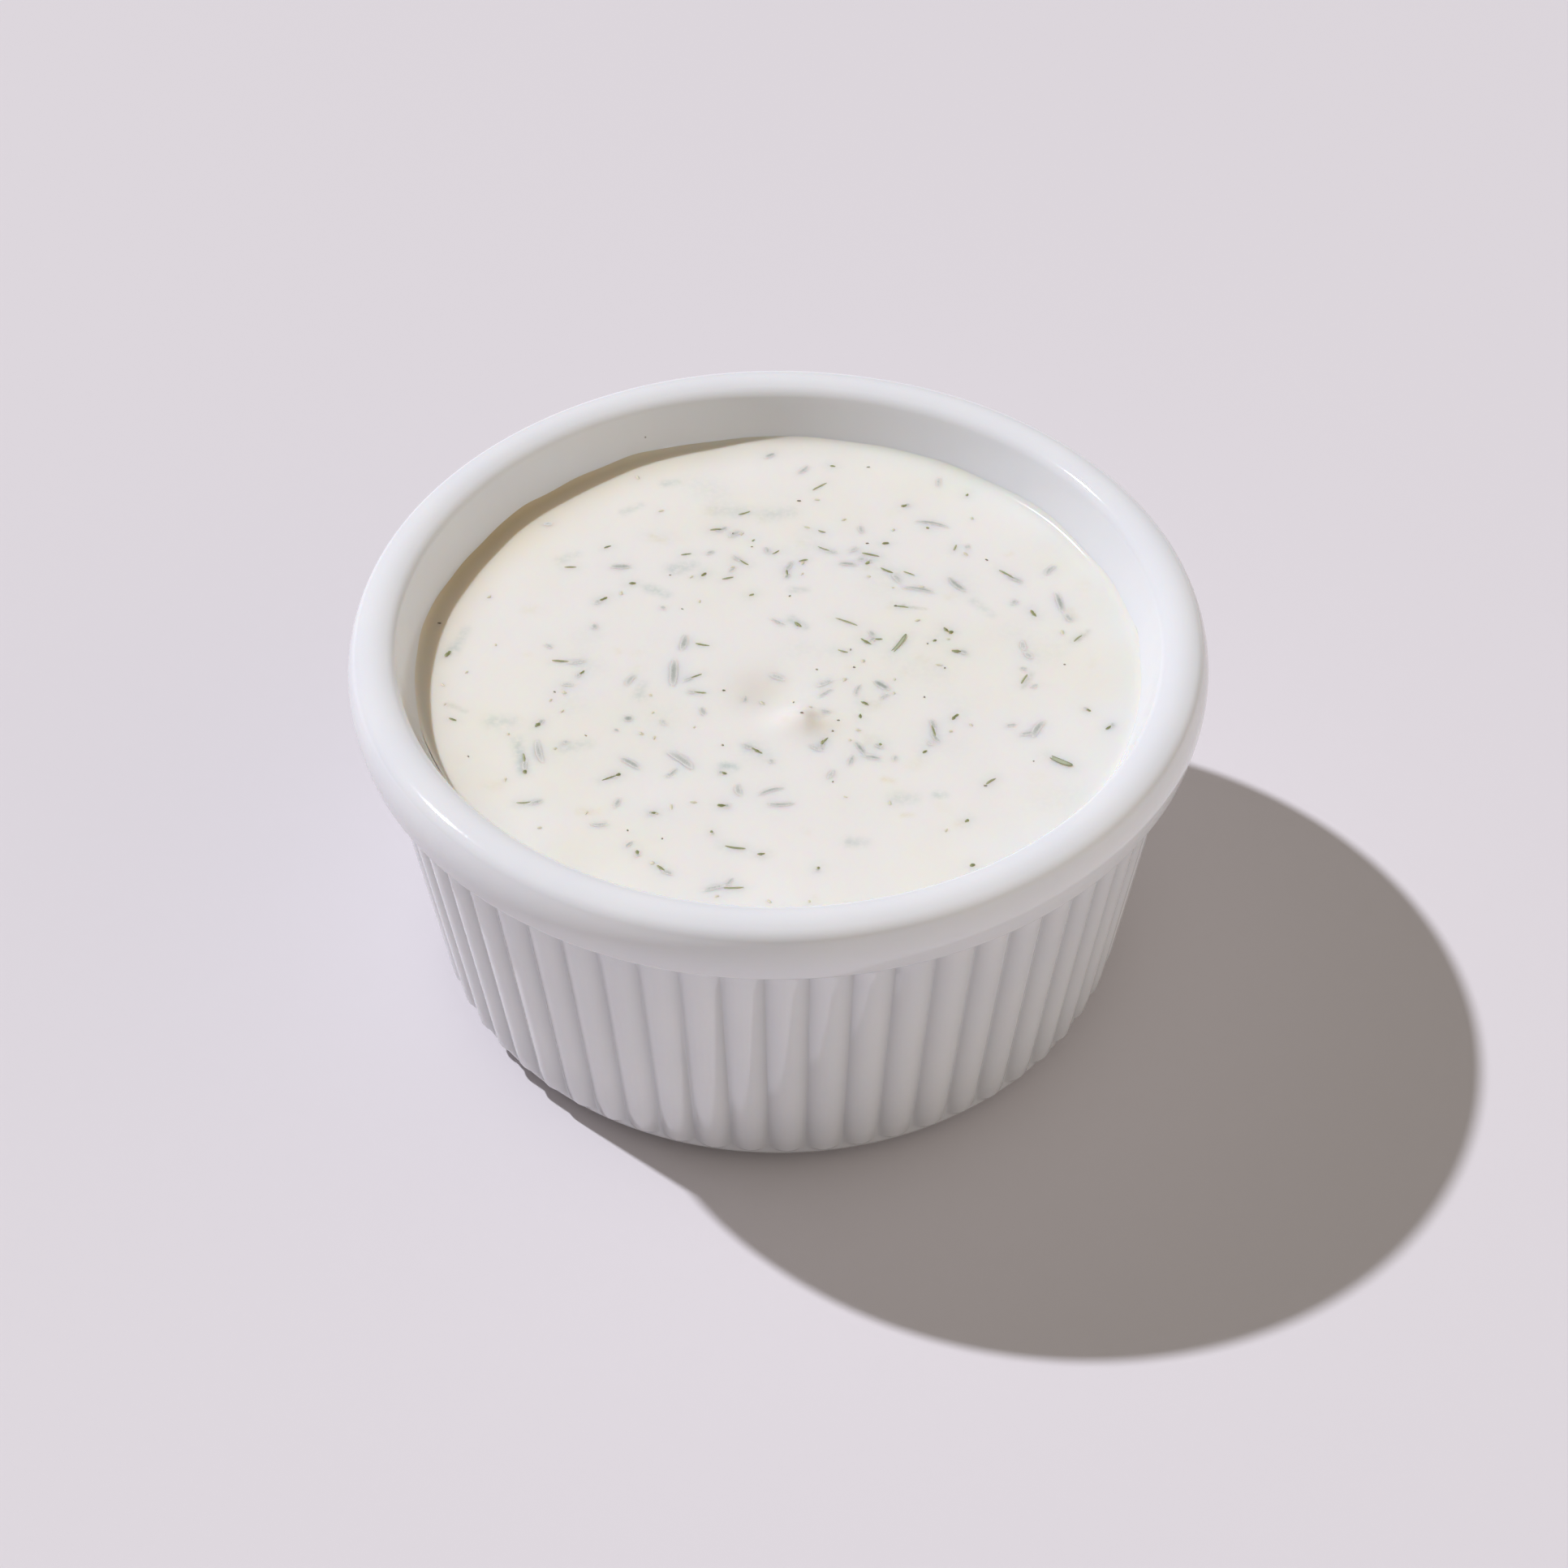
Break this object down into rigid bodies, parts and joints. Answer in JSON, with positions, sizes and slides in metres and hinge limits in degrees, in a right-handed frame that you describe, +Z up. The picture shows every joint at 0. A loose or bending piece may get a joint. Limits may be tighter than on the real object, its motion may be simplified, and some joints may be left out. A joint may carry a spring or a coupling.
{
  "type": "ramekin of tzatziki dip",
  "caption": "Round ribbed white ramekin with a plain rim band, filled with creamy tzatziki dip flecked with chopped dill.",
  "frame": {"origin": "centre of the dish's foot, on the table", "axes": "+Z up, along the dish's turning axis; -Y towards the side that the viewer faces"},
  "size_m": [0.09, 0.09, 0.0438],
  "materials": {
    "white_glaze": "glossy white glaze",
    "cream_dip": "smooth wet cream with dill flecks"
  },
  "bodies": {
    "root": {"ramekin": "white_glaze", "dip": "cream_dip"}
  },
  "joints": []
}
